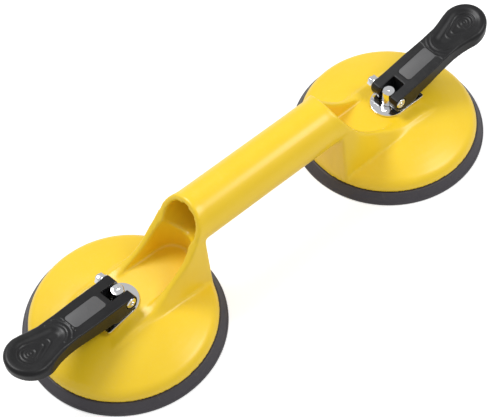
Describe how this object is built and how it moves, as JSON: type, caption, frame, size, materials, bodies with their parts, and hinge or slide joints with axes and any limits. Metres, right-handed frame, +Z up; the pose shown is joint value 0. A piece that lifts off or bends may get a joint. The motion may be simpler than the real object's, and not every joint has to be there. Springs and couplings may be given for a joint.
{
  "type": "floor tile suction lifter",
  "caption": "Hand-held lifter with rubber suction cups at the ends of a tube handle, each drawn tight by a cam lever that lies down outwards when locked.",
  "frame": {"origin": "on the floor, midway between the two cups", "axes": "+X along the handle, +Z up, levers pointing away from the middle"},
  "size_m": [0.3647, 0.12, 0.0702],
  "materials": {
    "housing_yellow": "gloss",
    "pad_rubber": "matt",
    "lever_black": "satin",
    "label_grey": "satin",
    "bright_steel": "polished",
    "plain_steel": "zinc plated",
    "bush_plastic": "natural"
  },
  "bodies": {
    "housing_body": {"housing": "housing_yellow", "left_rubber_pad": "pad_rubber", "right_rubber_pad": "pad_rubber", "left_guide_bush": "bush_plastic", "right_guide_bush": "bush_plastic"},
    "left_draw": {"left_insert_plate": "plain_steel", "left_stud_retainer": "plain_steel", "left_return_spring": "plain_steel"},
    "left_swivel": {"left_pull_stud": "bright_steel", "left_axle_bolt": "bright_steel", "left_washer": "bright_steel", "left_nut": "bright_steel"},
    "left_slider": {"left_wear_plate": "bright_steel"},
    "left_clamp": {"left_lever": "lever_black", "left_label_plate": "label_grey"},
    "right_draw": {"right_insert_plate": "plain_steel", "right_stud_retainer": "plain_steel", "right_return_spring": "plain_steel"},
    "right_swivel": {"right_pull_stud": "bright_steel", "right_axle_bolt": "bright_steel", "right_washer": "bright_steel", "right_nut": "bright_steel"},
    "right_slider": {"right_wear_plate": "bright_steel"},
    "right_clamp": {"right_lever": "lever_black", "right_label_plate": "label_grey"}
  },
  "joints": [
    {"name": "left_pad_draw", "type": "slide", "parent": "housing_body", "child": "left_draw", "axis": [0, 0, -1], "range_m": [0, 0.003], "deforming": ["left_return_spring", "left_rubber_pad"]},
    {"name": "left_lever_swivel", "type": "hinge", "parent": "left_draw", "child": "left_swivel", "pos_m": [-0.105, 0, 0.0336], "axis": [0, 0, 1], "range_deg": [-60, 60]},
    {"name": "left_wear_plate_turn", "type": "hinge", "parent": "housing_body", "child": "left_slider", "pos_m": [-0.105, 0, 0.0245], "axis": [0, 0, 1], "range_deg": [-60, 60]},
    {"name": "left_lever_open", "type": "hinge", "parent": "left_swivel", "child": "left_clamp", "pos_m": [-0.105, 0, 0.0336], "axis": [-0.1219, 0.9925, 0], "range_deg": [0, 95]},
    {"name": "right_pad_draw", "type": "slide", "parent": "housing_body", "child": "right_draw", "axis": [0, 0, -1], "range_m": [0, 0.003], "deforming": ["right_return_spring", "right_rubber_pad"]},
    {"name": "right_lever_swivel", "type": "hinge", "parent": "right_draw", "child": "right_swivel", "pos_m": [0.105, 0, 0.0336], "axis": [0, 0, 1], "range_deg": [-60, 60]},
    {"name": "right_wear_plate_turn", "type": "hinge", "parent": "housing_body", "child": "right_slider", "pos_m": [0.105, 0, 0.0245], "axis": [0, 0, 1], "range_deg": [-60, 60]},
    {"name": "right_lever_open", "type": "hinge", "parent": "right_swivel", "child": "right_clamp", "pos_m": [0.105, 0, 0.0336], "axis": [0, -1, 0], "range_deg": [0, 95]}
  ],
  "couplings": [
    {"joint": "left_lever_open", "follows": "left_pad_draw", "rad_per_m": 552.68},
    {"joint": "left_wear_plate_turn", "follows": "left_lever_swivel", "ratio": 1},
    {"joint": "right_lever_open", "follows": "right_pad_draw", "rad_per_m": 552.68},
    {"joint": "right_wear_plate_turn", "follows": "right_lever_swivel", "ratio": 1}
  ]
}
